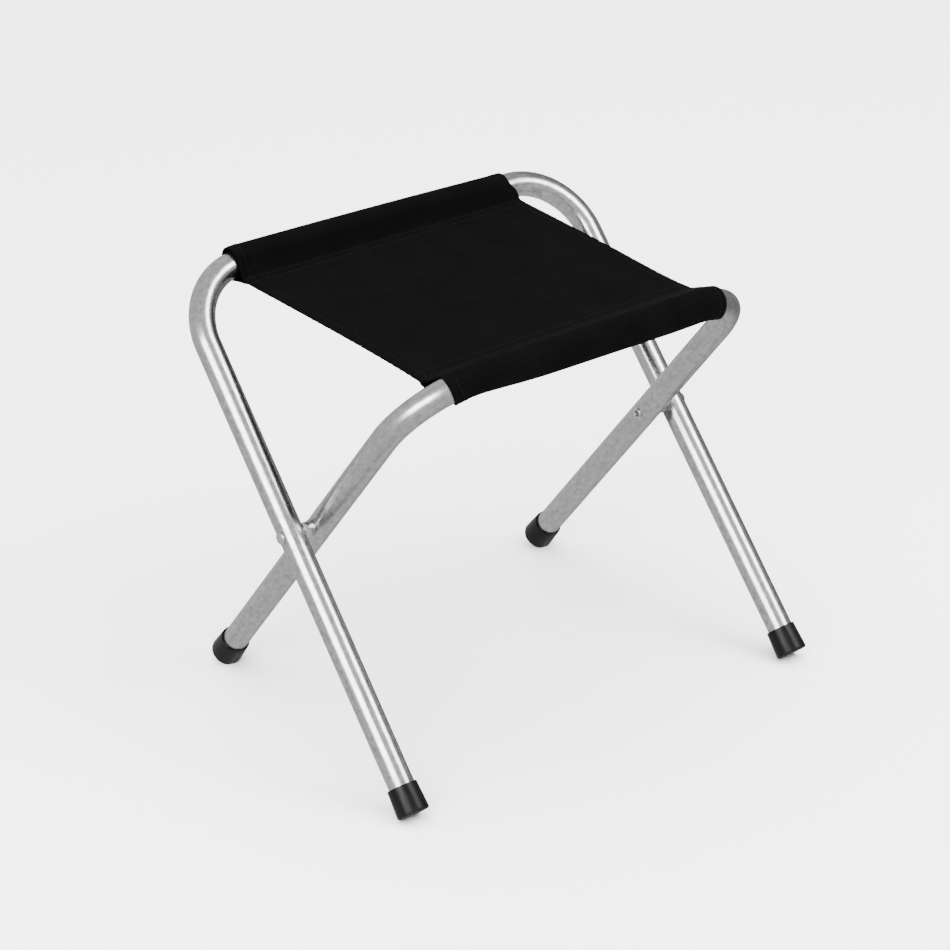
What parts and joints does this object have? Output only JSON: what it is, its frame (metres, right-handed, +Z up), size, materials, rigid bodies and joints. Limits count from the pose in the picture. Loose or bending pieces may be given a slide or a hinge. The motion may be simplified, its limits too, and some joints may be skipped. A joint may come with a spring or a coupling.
{
  "type": "camp stool",
  "caption": "Folding camp stool: crossed tubular frames hinged on rivets, a cloth seat sewn round the top bars and moulded foot caps.",
  "frame": {"origin": "on the floor, under the middle of the stool's bounding box", "axes": "+X along the top bars and the hinge, +Y towards the outer frame's top bar (the back), +Z up"},
  "size_m": [0.3838, 0.2922, 0.3205],
  "materials": {
    "outer_frame_tube": "bright drawn tube, lightly polished",
    "inner_frame_tube": "bright drawn tube, lightly polished",
    "pivot_rivet_left": "plated",
    "pivot_rivet_right": "plated",
    "pivot_spacer_left": "plated",
    "pivot_spacer_right": "plated",
    "foot_cap_front_left": "semi-gloss moulded",
    "foot_cap_front_right": "semi-gloss moulded",
    "foot_cap_rear_left": "semi-gloss moulded",
    "foot_cap_rear_right": "semi-gloss moulded",
    "seat_sleeve_rear": "woven, matt",
    "seat_sleeve_front": "woven, matt",
    "seat_panel_rear": "woven, matt",
    "seat_panel_front": "woven, matt",
    "seat_fold_rear": "woven, matt",
    "seat_fold_front": "woven, matt"
  },
  "bodies": {
    "outer_frame": {"outer_frame_tube": "outer_frame_tube", "pivot_rivet_left": "pivot_rivet_left", "pivot_rivet_right": "pivot_rivet_right", "pivot_spacer_left": "pivot_spacer_left", "pivot_spacer_right": "pivot_spacer_right", "foot_cap_front_left": "foot_cap_front_left", "foot_cap_front_right": "foot_cap_front_right", "seat_sleeve_rear": "seat_sleeve_rear", "seat_panel_rear": "seat_panel_rear"},
    "inner_frame": {"inner_frame_tube": "inner_frame_tube", "foot_cap_rear_left": "foot_cap_rear_left", "foot_cap_rear_right": "foot_cap_rear_right", "seat_sleeve_front": "seat_sleeve_front", "seat_panel_front": "seat_panel_front"},
    "rear_fold_strip": {"seat_fold_rear": "seat_fold_rear"},
    "front_fold_strip": {"seat_fold_front": "seat_fold_front"}
  },
  "joints": [
    {"name": "fold", "type": "hinge", "parent": "outer_frame", "child": "inner_frame", "pos_m": [0, 0.0028, 0.16247], "axis": [-1, 0, 0], "range_deg": [0, 79.9], "deforming": ["seat_panel_rear", "seat_panel_front"]},
    {"name": "seat_drop_rear", "type": "hinge", "parent": "outer_frame", "child": "rear_fold_strip", "pos_m": [0, -0.01532, 0.23127], "axis": [-1, 0, 0], "range_deg": [0, 79.9]},
    {"name": "seat_drop_front", "type": "hinge", "parent": "inner_frame", "child": "front_fold_strip", "pos_m": [0, 0.02565, 0.22984], "axis": [1, 0, 0], "range_deg": [0, 79.9]}
  ],
  "couplings": [
    {"joint": "seat_drop_rear", "follows": "fold", "ratio": 1},
    {"joint": "seat_drop_front", "follows": "fold", "ratio": 1}
  ]
}
